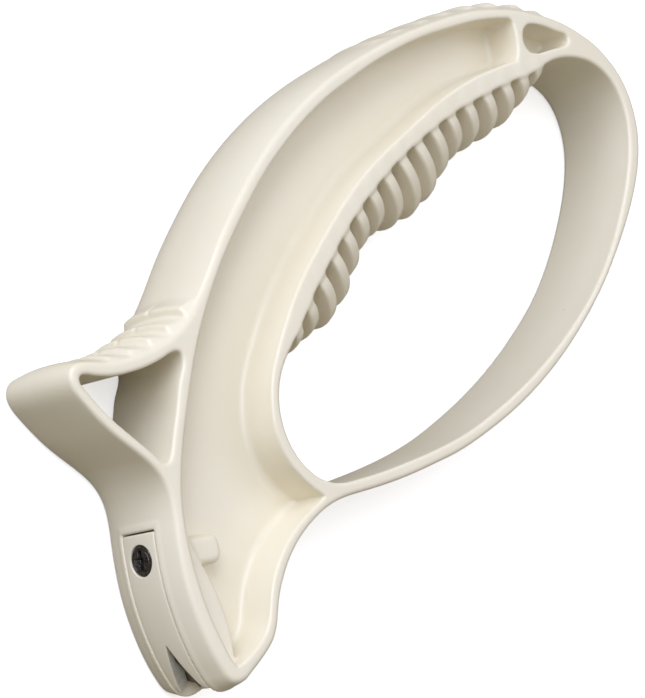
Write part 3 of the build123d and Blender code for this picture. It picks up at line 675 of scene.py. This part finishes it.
def carbide():
    """Ground hard metal: grey, with fine grinding lines along the plate."""
    m, nt, bsdf = material("ground_carbide")
    co = nt.nodes.new("ShaderNodeTexCoord").outputs["Object"]
    turn = node(nt, "ShaderNodeMapping")
    turn.inputs["Rotation"].default_value = (0, 0, math.radians(12.7))
    turn.inputs["Scale"].default_value = (600, 600, 9000)
    nt.links.new(co, turn.inputs["Vector"])
    lines = node(nt, "ShaderNodeTexNoise", Scale=1.0, Detail=4.0, Roughness=0.65)
    nt.links.new(turn.outputs[0], lines.inputs["Vector"])
    col = ramp(nt, lines.outputs["Fac"], [(0.3, (0.14, 0.13, 0.118)), (0.7, (0.30, 0.285, 0.265))])
    nt.links.new(col, bsdf.inputs["Base Color"])
    nt.links.new(calc(nt, "ADD", calc(nt, "MULTIPLY", lines.outputs["Fac"], 0.28), 0.20), bsdf.inputs["Roughness"])
    bump = node(nt, "ShaderNodeBump", Strength=0.35, Distance=0.00001)
    nt.links.new(lines.outputs["Fac"], bump.inputs["Height"])
    nt.links.new(bump.outputs[0], bsdf.inputs["Normal"])
    bsdf.inputs["Metallic"].default_value = 1.0
    return m


def shaded_ivory():
    """The seat's walls in a deeper tan: painted shade for the narrow gap round the holder."""
    m, nt, bsdf = material("ivory_seat_painted_shade")
    co = nt.nodes.new("ShaderNodeTexCoord").outputs["Object"]
    n1 = node(nt, "ShaderNodeTexNoise", Scale=700.0, Detail=4.0, Roughness=0.6)
    nt.links.new(co, n1.inputs["Vector"])
    nt.links.new(ramp(nt, n1.outputs["Fac"], [(0.3, (0.74, 0.63, 0.42)), (0.7, (0.80, 0.70, 0.50))]), bsdf.inputs["Base Color"])
    nt.links.new(calc(nt, "ADD", calc(nt, "MULTIPLY", n1.outputs["Fac"], 0.2), 0.4), bsdf.inputs["Roughness"])
    return m


def slot_painted_shade_ivory():
    """The walls of the V slot in a greyer, darker, streaked ivory: painted shade inside the slot."""
    m, nt, bsdf = material("ivory_slot_painted_shade")
    co = nt.nodes.new("ShaderNodeTexCoord").outputs["Object"]
    turn = node(nt, "ShaderNodeMapping")
    turn.inputs["Scale"].default_value = (500, 500, 3500)
    nt.links.new(co, turn.inputs["Vector"])
    n1 = node(nt, "ShaderNodeTexNoise", Scale=1.0, Detail=5.0, Roughness=0.65)
    nt.links.new(turn.outputs[0], n1.inputs["Vector"])
    nt.links.new(ramp(nt, n1.outputs["Fac"], [(0.25, (0.50, 0.475, 0.40)), (0.75, (0.68, 0.65, 0.56))]), bsdf.inputs["Base Color"])
    nt.links.new(calc(nt, "ADD", calc(nt, "MULTIPLY", n1.outputs["Fac"], 0.2), 0.38), bsdf.inputs["Roughness"])
    return m


# ------------------------------------------------------------------ the pieces
def dress(obj, mat):
    obj.data.materials.clear()
    obj.data.materials.append(mat)


handle, handle_n = make_handle()
dress(handle, ivory("ivory_moulding"))
handle.data.materials.append(shaded_ivory())
# the seat's walls take the deeper tan: painted shade in the gap round the holder
mark(handle, in_seat, 1)
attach(handle, "handle")
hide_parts("handle_body")

holder, _ = make_holder()
dress(holder, ivory("ivory_insert", tone=0.985, rough=0.34, seam=False))
holder.data.materials.append(slot_painted_shade_ivory())
# the V slot's walls take the darker ivory: painted shade
mark(holder, in_slot, 1)
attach(holder, "holder")
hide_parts("blade_holder")

screw, _ = make_screw()
dress(screw, steel("blackened_steel", (0.030, 0.026, 0.024), (0.085, 0.076, 0.068), (0.34, 0.31, 0.28), 0.75))
# lighter metal for the recess walls: painted highlight, with driver wear
screw.data.materials.append(steel("recess_glint_and_wear_steel", (0.22, 0.16, 0.11), (0.52, 0.41, 0.30), (0.85, 0.76, 0.66), 0.4))
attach(screw, "screw")
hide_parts("holder_screw")

metal = carbide()
for name in ("carbide_front", "carbide_rear"):
    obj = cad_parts[name]
    for i in range(len(obj.material_slots)):
        obj.material_slots[i].material = metal


# ------------------------------------------------------------------ floor, light, camera
me = bpy.data.meshes.new("floor")
R = 4.0
me.from_pydata([(-R, -R, -0.0002), (R, -R, -0.0002), (R, R, -0.0002), (-R, R, -0.0002)], [], [(0, 1, 2, 3)])
floor = bpy.data.objects.new("floor", me)
bpy.context.scene.collection.objects.link(floor)
fm = bpy.data.materials.new("floor_white")
fm.use_nodes = True
nt = fm.node_tree
for n in list(nt.nodes):
    nt.nodes.remove(n)
out = nt.nodes.new("ShaderNodeOutputMaterial")
seen, other = nt.nodes.new("ShaderNodeBsdfDiffuse"), nt.nodes.new("ShaderNodeBsdfDiffuse")
seen.inputs[0].default_value = (0.90, 0.90, 0.90, 1)
other.inputs[0].default_value = (0.33, 0.30, 0.235, 1)
glow = nt.nodes.new("ShaderNodeEmission")
glow.inputs[0].default_value = (1, 1, 1, 1)
glow.inputs[1].default_value = 0.55
add = nt.nodes.new("ShaderNodeAddShader")
nt.links.new(seen.outputs[0], add.inputs[0])
nt.links.new(glow.outputs[0], add.inputs[1])
mix = nt.nodes.new("ShaderNodeMixShader")
nt.links.new(nt.nodes.new("ShaderNodeLightPath").outputs["Is Camera Ray"], mix.inputs[0])
nt.links.new(other.outputs[0], mix.inputs[1])
nt.links.new(add.outputs[0], mix.inputs[2])
nt.links.new(mix.outputs[0], out.inputs[0])
me.materials.append(fm)

world = bpy.data.worlds.new("studio")
bpy.context.scene.world = world
world.use_nodes = True
bg = world.node_tree.nodes["Background"]
bg.inputs[0].default_value = (1.0, 0.88, 0.60, 1)
bg.inputs[1].default_value = 0.235


def area(name, direction, distance, size, power, colour=(1, 1, 1)):
    d = Vector(direction).normalized()
    target = Vector((0.0, 0.0, 0.008))
    light = bpy.data.lights.new(name, "AREA")
    light.shape = "RECTANGLE"
    light.size, light.size_y = size
    light.energy = power
    light.color = colour
    obj = bpy.data.objects.new(name, light)
    obj.matrix_world = Matrix.Translation(target + d * distance) @ d.to_track_quat("Z", "Y").to_matrix().to_4x4()
    bpy.context.scene.collection.objects.link(obj)


area("key", (-0.09, 0.88, 0.47), 1.1, (0.90, 0.90), 11.6, (0.785, 0.835, 1.0))
area("right", (0.42, -0.16, 0.90), 0.9, (0.9, 0.9), 3.2, (0.80, 0.83, 1.0))
area("left", (-0.36, 0.48, 0.80), 1.2, (0.8, 0.8), 5.2, (0.785, 0.835, 1.0))

cam_data = bpy.data.cameras.new("camera")
cam = bpy.data.objects.new("camera", cam_data)
bpy.context.scene.collection.objects.link(cam)
right, up, fwd = Vector((0.45396, -0.57980, 0.67658)), Vector((0.66914, 0.72324, 0.17081)), Vector((0.58836, -0.37518, -0.71629))
cam.matrix_world = Matrix(((right.x, up.x, -fwd.x, -0.294915), (right.y, up.y, -fwd.y, 0.178817),
                           (right.z, up.z, -fwd.z, 0.351939), (0, 0, 0, 1)))
cam_data.sensor_fit = "HORIZONTAL"
cam_data.sensor_width = 36.0
cam_data.lens = 3000.0 / 645.0 * 36.0
cam_data.clip_start, cam_data.clip_end = 0.01, 20
bpy.context.scene.camera = cam
bpy.context.scene.view_settings.view_transform = "Standard"

bpy.context.view_layer.update()
